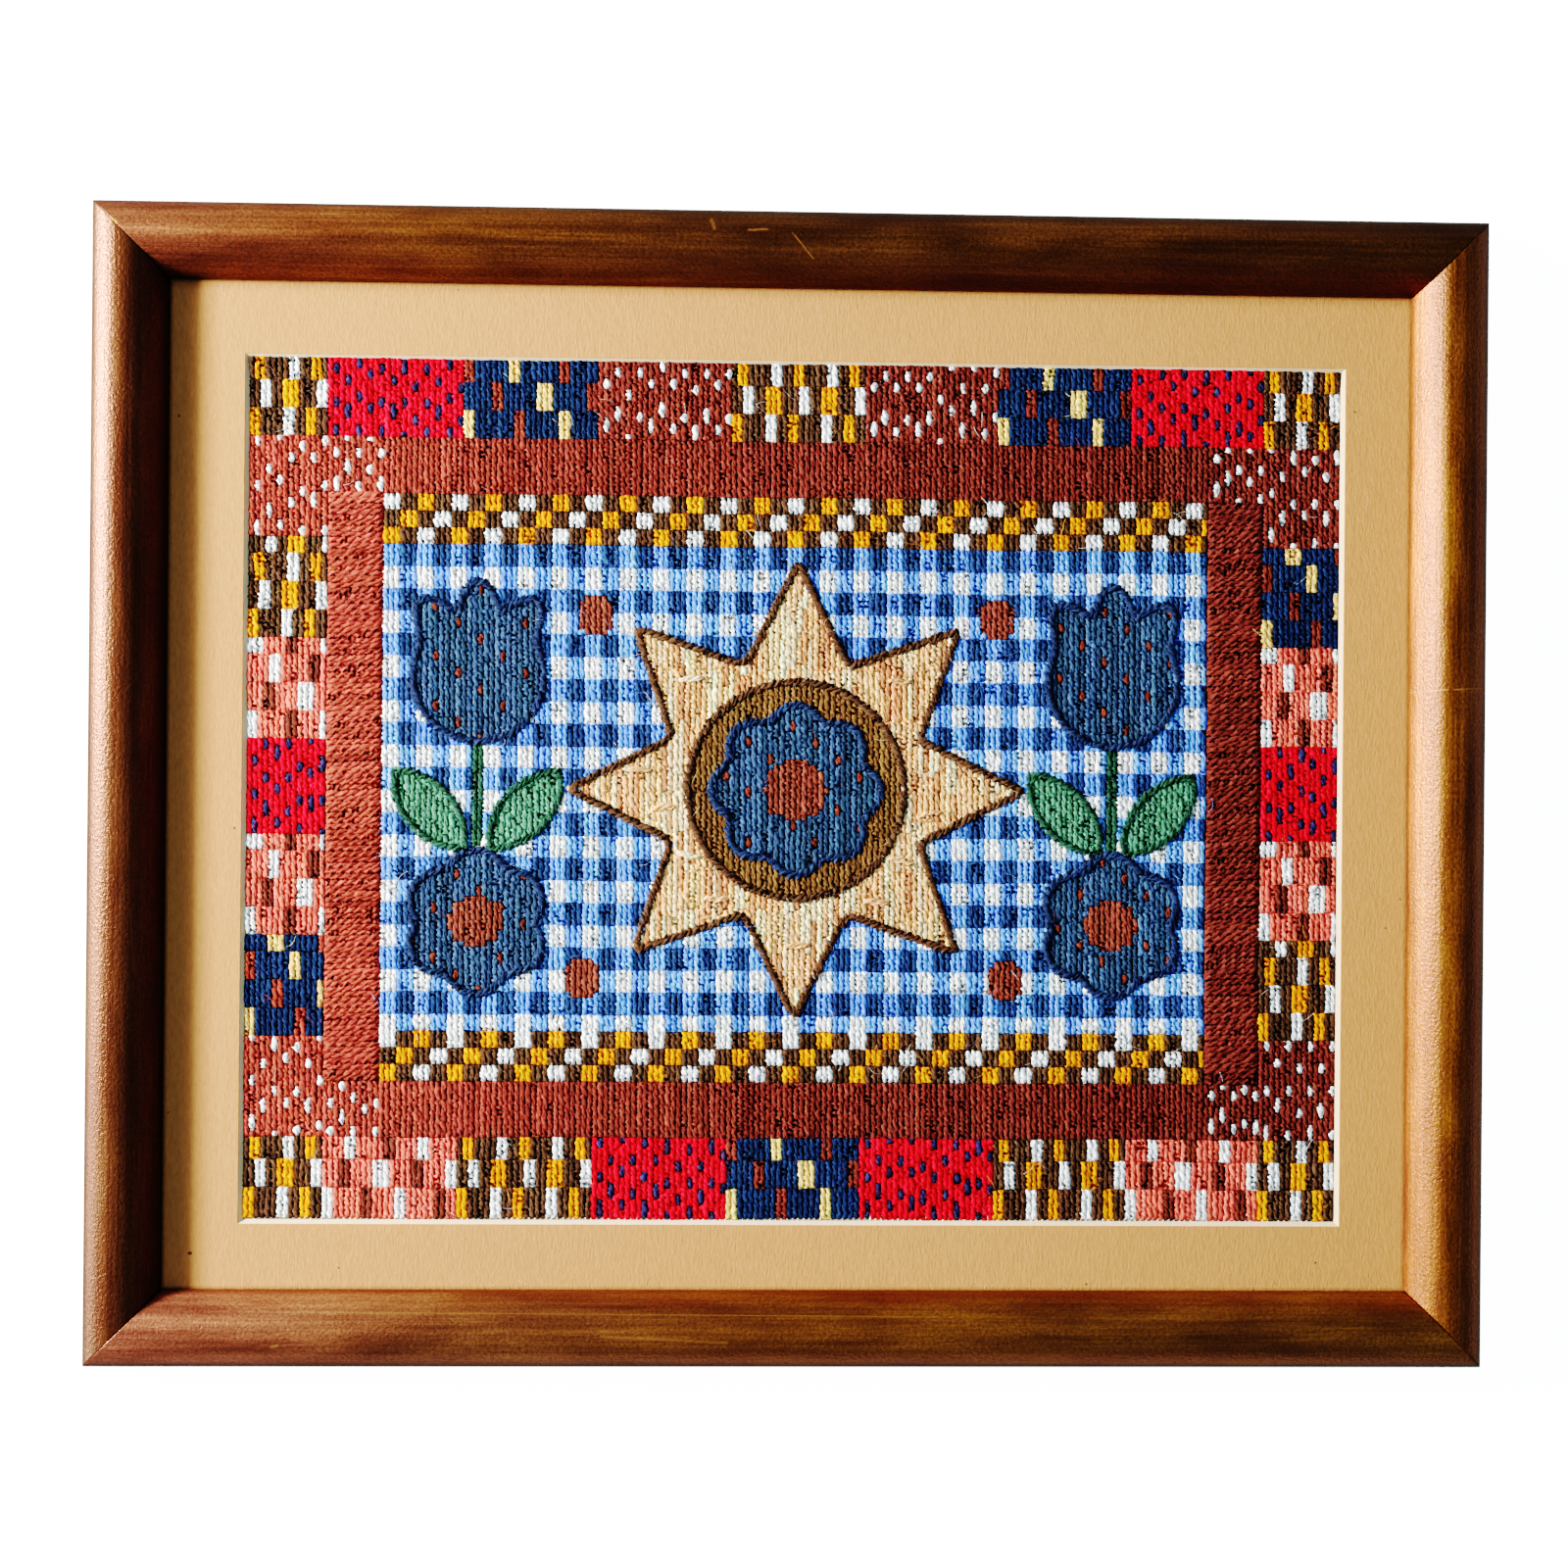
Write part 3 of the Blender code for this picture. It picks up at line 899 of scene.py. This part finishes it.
def checks(chart, where, left, bottom, ground, first, second):
    """A counterchange of small square cells, with the light ones in two colours by turns."""
    column, row = (chart.column - left) // 3, (chart.row - bottom) // 3
    light = np.where((column - row) // 2 % 2 == 0, NUMBER[first], NUMBER[second])
    chart.paint(where, np.where((column + row) % 2 == 0, light, NUMBER[ground]), row)


BLOCKS = {
    "R": (dotted, "rust", "white", 8),
    "N": (bricks, "navy", "cream", "rust", 17),
    "S": (bricks, "salmon", "white", "brick", 13),
    "B": (bricks, "brown", "yellow", "white", 10),
    "D": (dotted, "red", "violet", 6),
}
TOP_BLOCKS = "DNRBRND"
BOTTOM_BLOCKS = "SBDNDBS"
LEFT_BLOCKS = "RNSDSBR"
RIGHT_BLOCKS = "RBSDSNR"


def add_block(chart, kind, left, bottom, width, height):
    fill, *colours = BLOCKS[kind]
    fill(chart, chart.inside(left, bottom, width, height), left, bottom, *colours)


def chart_border(chart):
    width = (COLUMNS - 2 * BORDER) // len(TOP_BLOCKS)
    height = (ROWS - 2 * BORDER - BARE_ROWS) / len(LEFT_BLOCKS)
    top, right = ROWS - BORDER, COLUMNS - BORDER
    for bottom, kinds in ((top, TOP_BLOCKS), (BARE_ROWS, BOTTOM_BLOCKS)):
        for place, kind in enumerate(kinds):
            add_block(chart, kind, BORDER + place * width, bottom, width, BORDER)
    for place, kinds in enumerate(zip(LEFT_BLOCKS, RIGHT_BLOCKS)):
        bottom, next_bottom = (BARE_ROWS + BORDER + round((place + step) * height) for step in (0, 1))
        for left, kind in zip((0, right), kinds):
            add_block(chart, kind, left, bottom, BORDER, next_bottom - bottom)
    for left in (0, right):
        for bottom in (BARE_ROWS, top):
            add_block(chart, "B", left, bottom, BORDER, BORDER)


def chart_band(chart):
    """The plain band inside the border, worked level at its two sides, with dotted corners."""
    bottom = BARE_ROWS + BORDER
    across = chart.inside(BORDER, bottom, COLUMNS - 2 * BORDER, ROWS - BORDER - bottom)
    chart.paint(across, "rust", 0)
    field = chart.inside(FIELD_LEFT, FIELD_BOTTOM, FIELD_RIGHT - FIELD_LEFT, FIELD_TOP - FIELD_BOTTOM)
    chart.level |= across & (chart.row >= FIELD_BOTTOM) & (chart.row < FIELD_TOP) & ~field
    for left in (BORDER, FIELD_RIGHT):
        for low in (bottom, FIELD_TOP):
            dotted(chart, chart.inside(left, low, BAND, BAND), left, low, "rust", "white", 6)
    return field


def polar(x, y):
    return np.hypot(x, y), np.arctan2(y, x)


def star_reach(angle, outer, inner, points):
    sector = math.pi / points
    off = np.abs((angle + sector) % (2 * sector) - sector)
    return outer * inner * math.sin(sector) / (outer * np.sin(off) + inner * np.sin(sector - off))


def flower_reach(angle, size, petals):
    """A rosette of so many petals, or with none a tulip: three upright petals on a round cup."""
    if petals:
        return size * (0.80 + 0.20 * np.abs(np.cos(petals * (angle - QUARTER) / 2)) ** 0.8)
    off = np.abs((angle - QUARTER + math.pi) % (2 * math.pi) - math.pi)
    upright = np.where(off < 1.5 * PETAL_APART, np.abs(np.cos(math.pi * off / PETAL_APART)) ** 1.2, 0)
    return size * (0.76 + 0.36 * upright)


def leaf_side(along, length, width):
    return width / 2 * np.clip(1 - (2 * along / length) ** 2, 0, 1) ** 0.8


def chart_ground(chart, field):
    """A gingham ground, with a strip of checks along its top and bottom."""
    column, row = chart.column - FIELD_LEFT, chart.row - FIELD_BOTTOM
    cell_column, cell_row = column // GINGHAM_CELL[0], row // GINGHAM_CELL[1]
    pair = cell_column % 2 + cell_row % 2
    gingham = np.choose(pair, (NUMBER["white"], NUMBER["sky"], NUMBER["blue"]))
    chart.paint(field, gingham, cell_row)
    strips = field & ((row < CHECK_ROWS) | (chart.row >= FIELD_TOP - CHECK_ROWS))
    checks(chart, strips, FIELD_LEFT, FIELD_BOTTOM, "brown", "yellow", "white")


def chart_motifs(chart, field):
    column, row = chart.column - FIELD_LEFT, chart.row - FIELD_BOTTOM
    x = chart.column + 0.5 - (FIELD_LEFT + FIELD_RIGHT) / 2
    y = chart.row + 0.5 - (FIELD_BOTTOM + FIELD_TOP) / 2
    cuts = RNG.integers(0, 9, COLUMNS)[None, :] + chart.row / RNG.integers(7, 12, COLUMNS)[None, :]
    long_key = cuts.astype(int) + 50

    for side in (-SIDE, SIDE):
        stem = field & (np.abs(x - side) < STEM_COLUMNS) & (y > STEM_ROWS[0]) & (y < STEM_ROWS[1])
        chart.paint(stem, "leaf", row // 5)
    for leaf_x, leaf_y, length, width, turn in LEAVES:
        along = (x - leaf_x) * math.cos(turn) + (y - leaf_y) * math.sin(turn)
        side = -(x - leaf_x) * math.sin(turn) + (y - leaf_y) * math.cos(turn)
        inside = field & (np.abs(side) < leaf_side(along, length, width)) & (np.abs(along) < length / 2)
        chart.paint(inside, "green", (row + column) // 5)
    for berry_x, berry_y in BERRIES:
        chart.paint(field & (np.hypot(x - berry_x, y - berry_y) < BERRY_RADIUS), "berry", 11)

    distance, angle = polar(x, y)
    star = field & (distance < star_reach(angle + QUARTER, **STAR))
    colours = [NUMBER[name] for name in STRAW_SHARES]
    straws = RNG.choice(colours, (200, COLUMNS), p=list(STRAW_SHARES.values()))
    chart.paint(star, straws[long_key % 200, chart.column], long_key)
    chart.paint(field & (distance < RING_RADIUS), "gold", 3)

    blues = np.where(RNG.random(COLUMNS) < PALE_PETALS, NUMBER["petal light"], NUMBER["petal"])
    blues = np.broadcast_to(blues, chart.row.shape)
    spots = (column % 4 == 1) & ((row + 3 * (column // 4)) % 9 < 2)
    for flower_x, flower_y, size, petals in FLOWERS:
        distance, angle = polar(x - flower_x, y - flower_y)
        flower = field & (distance < flower_reach(angle, size, petals))
        chart.paint(flower, blues, long_key)
        chart.paint(flower & spots, "brick", 7)
        if petals:
            chart.paint(flower & (distance < FLOWER_MIDDLE * size), "berry", 9)


def design():
    chart = Chart()
    chart_border(chart)
    field = chart_band(chart)
    chart_ground(chart, field)
    chart_motifs(chart, field)
    return chart


# ==== The wool ====

def thread_place(column, row):
    """The place of a thread crossing, with the small wander of a hand-worked canvas."""
    x = WINDOW_CENTRE.x + (column - COLUMNS / 2) * PITCH
    y = WINDOW_CENTRE.y + (row - ROWS / 2) * PITCH
    wander_x = WANDER[0] * math.sin(row / 9 + 2 * math.sin(column / 31)) * math.cos(column / 14)
    wander_y = WANDER[1] * math.sin(column / 8 + math.cos(row / 17)) * math.cos(row / 21)
    return x + wander_x, y + wander_y


def field_place(x, y):
    """The place of a point given in threads from the field's centre."""
    return thread_place((FIELD_LEFT + FIELD_RIGHT) / 2 + x, (FIELD_BOTTOM + FIELD_TOP) / 2 + y)


def bulge(x, y):
    """How far the wool stands up against the mat, most along the window's left and upper edges."""
    from_left = x - (WINDOW_CENTRE.x - WINDOW_WIDTH / 2)
    from_top = WINDOW_CENTRE.y + WINDOW_HEIGHT / 2 - y
    from_bottom = y - (WINDOW_CENTRE.y - WINDOW_HEIGHT / 2)
    away = (from_left, from_top, from_bottom)
    return MM * sum(height * np.exp(-distance / reach) for (height, reach), distance in zip(BULGE, away))


def twisted_stitch(
    strands, start, end, colour, width=1.0, level=STITCH_LEVEL, height=1.0, dip=DIP, oval=False, bow=0.0,
):
    """One stitch of two plies that comes up at start, lies on the canvas and goes down at end."""
    start, end = np.array(start), np.array(end)
    length = np.linalg.norm(end - start)
    direction = (end - start) / length
    inner = max(2, int(round((length - 2 * END_RUN) / RING_STEP)) + 1)
    stops = np.concatenate(([0], np.linspace(END_RUN, length - END_RUN, inner), [length]))
    lift = np.zeros(len(stops))
    lift[[0, -1]] = -dip
    lift[[1, -2]] = -0.10 * dip
    arch = np.maximum(np.sin(np.pi * stops / length), 0)
    swell = 1 + 0.04 * arch
    swell[[0, -1]] = 0.74
    if oval:
        swell = 0.34 + 0.86 * arch ** 0.7
    path = np.zeros((len(stops), 3))
    path[:, :2] = start + stops[:, None] * direction
    sway = RNG.normal(0, SWAY, len(stops)) + bow * arch
    sideways = np.array((-direction[1], direction[0], 0))
    path += sway[:, None] * sideways
    path[:, 2] = level + lift + bulge(path[:, 0], path[:, 1])
    across = np.broadcast_to(sideways, path.shape)
    phase = RNG.uniform(0, 2 * math.pi)
    turns = phase - TWIST_PER_METRE * stops * RNG.uniform(0.85, 1.15)
    widths = width * swell * RNG.uniform(0.93, 1.07)
    heights = height * swell * RNG.uniform(0.9, 1.1)
    begin = RNG.uniform(0, 5)
    for ply in (0, 1):
        around = turns + ply * math.pi
        centre = path + (PLY_SPREAD * widths * np.cos(around))[:, None] * across
        centre[:, 2] += PLY_RISE * heights * np.sin(around)
        wide = PLY_HALF_WIDTH * widths * (1 + PLY_SQUASH * np.abs(np.sin(around)))
        shade = np.minimum(colour * (1 + (0.5 - ply) * PLY_CONTRAST), 1)
        strands.add(centre, across, wide, PLY_HALF_HEIGHT * heights, turns, shade, start=begin + ply)


def yarn_shade(number, place):
    """A yarn's colour, with the dye's slow drift and each strand's own tone. The rust is painted lighter
    towards the left, where the light is stronger.
    """
    drift = 1 + 0.07 * math.sin(place[0] * 37 + 3 * math.sin(place[1] * 29))
    tone = RNG.normal(1, 0.13)
    base = np.array(YARNS[NAMES[number]])
    if NAMES[number] == "rust":
        # Painted light: the rust grows lighter towards the left.
        lit_share = np.clip((RUST_LIT_REACH - place[0]) / (2 * RUST_LIT_REACH), 0, 1) ** 3.6
        base = base + lit_share * (np.array(YARNS["lit rust"]) - base)
    return np.clip(base * drift * tone * RNG.normal(1, 0.025, 3), 0.004, 1.0)


def stitch_spans(colours, keys):
    """The (first, last + 1) of each stitch along a line: one colour, one key and at most LONGEST."""
    breaks = np.flatnonzero((np.diff(colours) != 0) | (np.diff(keys) != 0)) + 1
    edges = np.concatenate(([0], breaks, [len(colours)]))
    for first, last in zip(edges[:-1], edges[1:]):
        if colours[first] < 0:
            continue
        count = max(1, math.ceil((last - first) / LONGEST))
        cuts = [first + round((last - first) * part / count) for part in range(count + 1)]
        yield from zip(cuts[:-1], cuts[1:])


def lay_stitches(chart, strands_at):
    """Works the chart: upright stitches column by column, level ones row by row."""
    upright = np.where(chart.level, -1, chart.colour)
    for column in range(COLUMNS):
        for low, high in stitch_spans(upright[:, column], chart.key[:, column]):
            lean = RNG.normal(0, 0.05)
            foot = low - 0.45 * (low == BARE_ROWS)
            start = thread_place(column + 0.5 - lean, foot + RNG.normal(0.02, 0.05))
            end = thread_place(column + 0.5 + lean, high - RNG.normal(0.02, 0.05))
            number = upright[low, column]
            dot = high - low < 4 and NAMES[number] in DOT_YARNS
            strands = strands_at(column, (low + high) / 2)
            twisted_stitch(strands, start, end, yarn_shade(number, start), oval=dot)
    level = np.where(chart.level, chart.colour, -1)
    for row in range(ROWS):
        for low, high in stitch_spans(level[row], chart.key[row]):
            lean = RNG.normal(0.16, 0.10)
            start = thread_place(low + RNG.normal(0.02, 0.05), row + 0.5 - lean)
            end = thread_place(high - RNG.normal(0.02, 0.05), row + 0.5 + lean)
            strands = strands_at((low + high) / 2, row)
            twisted_stitch(strands, start, end, yarn_shade(level[row, low], start))


def stem_stitches(strands, points, colour, width=0.95):
    """A closed outline of short stitches, each one starting beside the middle of the one before."""
    points = np.array((*points, points[0]))
    along = lengths_along(points)
    count = max(3, int(along[-1] / OUTLINE_STEP))
    for index in range(count):
        first = along[-1] * index / count
        last = min(along[-1], first + OUTLINE_STITCH)
        start, end = (
            np.array([np.interp(stop, along, points[:, axis]) for axis in (0, 1)]) for stop in (first, last)
        )
        if np.linalg.norm(end - start) < OUTLINE_SHORTEST:
            continue
        direction = (end - start) / np.linalg.norm(end - start)
        side = np.array((-direction[1], direction[0])) * OUTLINE_SLANT
        twisted_stitch(
            strands, start - side, end + side, yarn_shade(NUMBER[colour], start),
            width=width, level=OUTLINE_LEVEL, dip=0.5 * MM,
        )


def round_outline(centre_x, centre_y, reach, *sizes):
    """The outline of a motif whose reach is a function of the angle and its sizes."""
    points = []
    for step in range(OUTLINE_POINTS):
        angle = 2 * math.pi * step / OUTLINE_POINTS
        distance = float(reach(np.array(angle), *sizes))
        x, y = centre_x + distance * math.cos(angle), centre_y + distance * math.sin(angle)
        points.append(field_place(x, y))
    return points


def leaf_outline(x, y, length, width, turn):
    points = []
    for side in (1, -1):
        for step in range(12):
            along = side * (step / 12 - 0.5) * length
            off = side * leaf_side(along, length, width)
            points.append(field_place(
                x + along * math.cos(turn) - off * math.sin(turn),
                y + along * math.sin(turn) + off * math.cos(turn),
            ))
    return points


def add_outlines(strands):
    star_points = []
    for step in range(2 * STAR["points"]):
        angle = step * math.pi / STAR["points"]
        distance = STAR["inner"] if step % 2 else STAR["outer"]
        star_points.append(field_place(distance * math.cos(angle), distance * math.sin(angle)))
    stem_stitches(strands, star_points, "brown")
    stem_stitches(strands, round_outline(0, 0, lambda angle: RING_RADIUS), "brown")
    for x, y, size, petals in FLOWERS:
        stem_stitches(strands, round_outline(x, y, flower_reach, size, petals), "dark blue")
    for leaf in LEAVES:
        stem_stitches(strands, leaf_outline(*leaf), "leaf", width=0.8)


def add_couching(strands):
    """Level bars that tie down the long straw stitches, set like bricks."""
    for course in range(-5, 6):
        for place in range(-5, 6):
            x = (place + course % 2 / 2) * COUCHING_STEP[0] + RNG.normal(0, 0.4)
            y = (course + 0.5) * COUCHING_STEP[1] + RNG.normal(0, 0.4)
            distance, angle = polar(x, y)
            from_ring, from_edge = distance - RING_RADIUS, star_reach(angle + QUARTER, **STAR) - distance
            if from_ring <= COUCHING_CLEAR[0] or from_edge <= COUCHING_CLEAR[1]:
                continue
            lean = RNG.normal(0, 0.35)
            start, end = (
                field_place(x + side * COUCHING_HALF, y + side * lean) for side in (-1, 1)
            )
            colour = yarn_shade(NUMBER[("pale straw", "straw")[RNG.integers(2)]], start)
            for bow in (-COUCHING_APART, COUCHING_APART):
                twisted_stitch(
                    strands, start, end, colour, width=0.62, height=0.8, level=STITCH_LEVEL + 0.5 * MM,
                    dip=0.8 * MM, bow=bow,
                )


def wandering_line(heading, step):
    """A hair's centreline, flat, from its heading at each step, and the way across it."""
    flat = np.zeros(len(heading))
    path = np.stack((np.cumsum(np.cos(heading)), np.cumsum(np.sin(heading)), flat), -1) * step
    return path, np.stack((-np.sin(heading), np.cos(heading), flat), -1)


def add_fuzz(chart, strands):
    """Loose fibres that stand up from the wool, paler than the yarn they come from."""
    for _ in range(FUZZ_COUNT):
        column, row = RNG.uniform(1, COLUMNS - 1), RNG.uniform(BARE_ROWS + 1, ROWS - 1)
        number = chart.colour[int(row), int(column)]
        if number < 0:
            continue
        share = np.linspace(0, 1, 5)
        heading = RNG.uniform(0, 2 * math.pi) + RNG.normal(0, 1.2) * share
        path, across = wandering_line(heading, RNG.uniform(2, 7) * MM / len(share))
        path[:, :2] += thread_place(column, row)
        path[:, 2] = STITCH_LEVEL + 0.5 * MM + RNG.uniform(0.1, 0.7) * MM * np.sin(math.pi * share)
        thin = np.full(len(share), FUZZ_THICKNESS)
        colour = np.clip(yarn_shade(number, path[0]) * 1.35 + 0.03, 0, 0.95)
        strands.add(path, across, thin, thin, np.zeros(len(share)), colour)


def add_teeth(strands):
    """The bare canvas threads that stand between the stitches' ends, along the window's lower edge."""
    thick = TOOTH_THICKNESS
    share = np.linspace(0, 1, len(thick))
    white = paint(250, 248, 242)
    for column in range(COLUMNS + 1):
        length = RNG.uniform(0.75, 1.15)
        x, y = thread_place(column, BARE_ROWS - 0.75)
        path = np.zeros((len(share), 3))
        path[:, 0] = x + RNG.normal(0, 0.08 * MM)
        path[:, 1] = y + share * length * PITCH
        path[:, 2] = GROUND_TOP + TOOTH_RISE * np.sin(math.pi * (0.25 + 0.6 * share))
        across = np.broadcast_to(np.array((1.0, 0, 0)), path.shape)
        strands.add(path, across, thick, thick, np.zeros(len(share)), white)


def add_dust():
    """Crumbs and short hairs that have gathered on the mat, mostly along the lower sight edge."""
    strands = Strands(4)
    for index in range(CRUMBS + LOOSE_HAIRS):
        hair = index >= CRUMBS
        length = RNG.uniform(1.5, 5.0) * MM if hair else RNG.uniform(0.15, 0.45) * MM
        thick = 0.05 * MM if hair else RNG.uniform(0.06, 0.16) * MM
        share = np.linspace(0, 1, 6 if hair else 3)
        heading = RNG.uniform(0, 2 * math.pi) + RNG.normal(0, 0.9) * share
        path, across = wandering_line(heading, length / len(share))
        path[:, 0] += RNG.uniform(-0.49, 0.49) * SIGHT_WIDTH
        off_edge = min(RNG.exponential(0.5), 2.5) * MM + 0.2 * MM
        path[:, 1] = -SIGHT_HEIGHT / 2 + off_edge + np.abs(path[:, 1])
        path[:, 2] = MAT_HIGH.z + 0.7 * thick
        widths = thick * (1 if hair else np.array((0.6, 1.0, 0.5))) * np.ones(len(share))
        shade = paint(*RNG.choice(DUST_SHADES, p=DUST_SHARES))
        strands.add(path, across, widths, 0.8 * widths, np.zeros(len(share)), shade)
    strands.piece("edge_dust", wool_material(), slot="mat_paper")


def part_of_design(column, row):
    """The name of the part of the design that a stitch belongs to."""
    if row < BARE_ROWS + BORDER:
        return "border_bottom"
    if row >= ROWS - BORDER:
        return "border_top"
    if column < BORDER:
        return "border_left"
    if column >= COLUMNS - BORDER:
        return "border_right"
    if not (FIELD_LEFT <= column < FIELD_RIGHT and FIELD_BOTTOM <= row < FIELD_TOP):
        return "band"
    third = int((column - FIELD_LEFT) * 3 / (FIELD_RIGHT - FIELD_LEFT))
    return "field_" + ("left", "middle", "right")[third]


def add_wool(ground):
    wool = wool_material()
    chart = design()
    parts = {}
    lay_stitches(chart, lambda *place: parts.setdefault(part_of_design(*place), Strands(4)))
    parts["outlines"] = Strands(4)
    add_outlines(parts["outlines"])
    add_couching(parts["outlines"])
    parts["canvas_teeth"] = Strands(5)
    add_teeth(parts["canvas_teeth"])
    parts["fuzz"] = Strands(3)
    add_fuzz(chart, parts["fuzz"])
    pieces = [strands.piece("stitches_" + name, wool) for name, strands in parts.items()]


# ==== Camera, light and floor ====

def add_camera():
    data = bpy.data.cameras.new("camera")
    data.lens = LENS
    data.sensor_width = SENSOR
    data.clip_start = 0.05
    camera = bpy.data.objects.new("camera", data)
    camera.location = CAMERA_PLACE
    camera.rotation_euler = Euler(CAMERA_TURN, "XYZ")
    bpy.context.scene.collection.objects.link(camera)
    bpy.context.scene.camera = camera


def area_light(name, azimuth, elevation, distance, size, power, colour):
    """A panel that faces the picture's middle. Azimuth 0 is from the left, and 90 from the top."""
    data = bpy.data.lights.new(name, "AREA")
    data.shape = "RECTANGLE"
    data.size, data.size_y = size
    data.energy = power
    data.color = colour
    lamp = bpy.data.objects.new(name, data)
    turn, rise = math.radians(azimuth), math.radians(elevation)
    way = Vector((-math.cos(turn) * math.cos(rise), math.sin(turn) * math.cos(rise), math.sin(rise)))
    lamp.location = way * distance
    lamp.rotation_mode = "QUATERNION"
    lamp.rotation_quaternion = way.to_track_quat("Z", "Y")
    bpy.context.scene.collection.objects.link(lamp)


def add_light():
    for row in LIGHTS:
        area_light(*row)
    world = bpy.data.worlds.new("soft_room")
    world.use_nodes = True
    background = world.node_tree.nodes["Background"]
    background.inputs["Color"].default_value = (*ROOM_COLOUR, 1)
    background.inputs["Strength"].default_value = ROOM_STRENGTH
    bpy.context.scene.world = world


def set_film():
    """The picture's contrast: deep shade, and highlights that roll off before they go white."""
    settings = bpy.context.scene.view_settings
    settings.view_transform = "Standard"
    settings.look = "None"
    settings.use_curve_mapping = True
    mapping = settings.curve_mapping
    mapping.white_level = (TONE_WHITE,) * 3
    curve = mapping.curves[3]
    while len(curve.points) < len(TONE):
        curve.points.new(0.5, 0.5)
    for point, (sent, shown) in zip(curve.points, TONE):
        point.location = (sent / TONE_WHITE, shown)
    mapping.update()


def add_stage_piece(mesh, material, shadow):
    """A piece of the studio. The object gets neither light nor reflections from it."""
    mesh.materials.append(material)
    piece = bpy.data.objects.new(mesh.name, mesh)
    piece.visible_glossy = False
    piece.visible_diffuse = False
    piece.visible_shadow = shadow
    bpy.context.scene.collection.objects.link(piece)


def add_studio():
    """A pale floor, and a round cove that carries it up behind the object in low views."""
    material = studio_material()
    square = corners_of(FLOOR_WIDTH, FLOOR_WIDTH, 0)
    floor = array_mesh("floor", square, ((0, 1, 2, 3),), smooth=False)
    add_stage_piece(floor, material, shadow=True)

    angles = np.linspace(0, QUARTER, COVE_STEPS + 1)
    reach = np.append(COVE_REACH - COVE_RADIUS * (1 - np.sin(angles)), COVE_REACH)
    rise = np.append(COVE_RADIUS * (1 - np.cos(angles)), COVE_HEIGHT)
    turns = np.arange(COVE_SIDES) * 2 * math.pi / COVE_SIDES
    x, y = reach[:, None] * np.cos(turns), reach[:, None] * np.sin(turns)
    points = np.stack((x, y, np.broadcast_to(rise[:, None], x.shape)), -1).reshape(-1, 3)
    quads = ring_quads(len(reach), COVE_SIDES)[:, (1, 0, 3, 2)]
    add_stage_piece(array_mesh("backdrop", points, quads), material, shadow=False)


def main():
    add_camera()
    add_light()
    set_film()
    add_studio()
    add_frame()
    add_mat()
    finish_backing()
    add_dust()
    add_wool(add_canvas())


main()
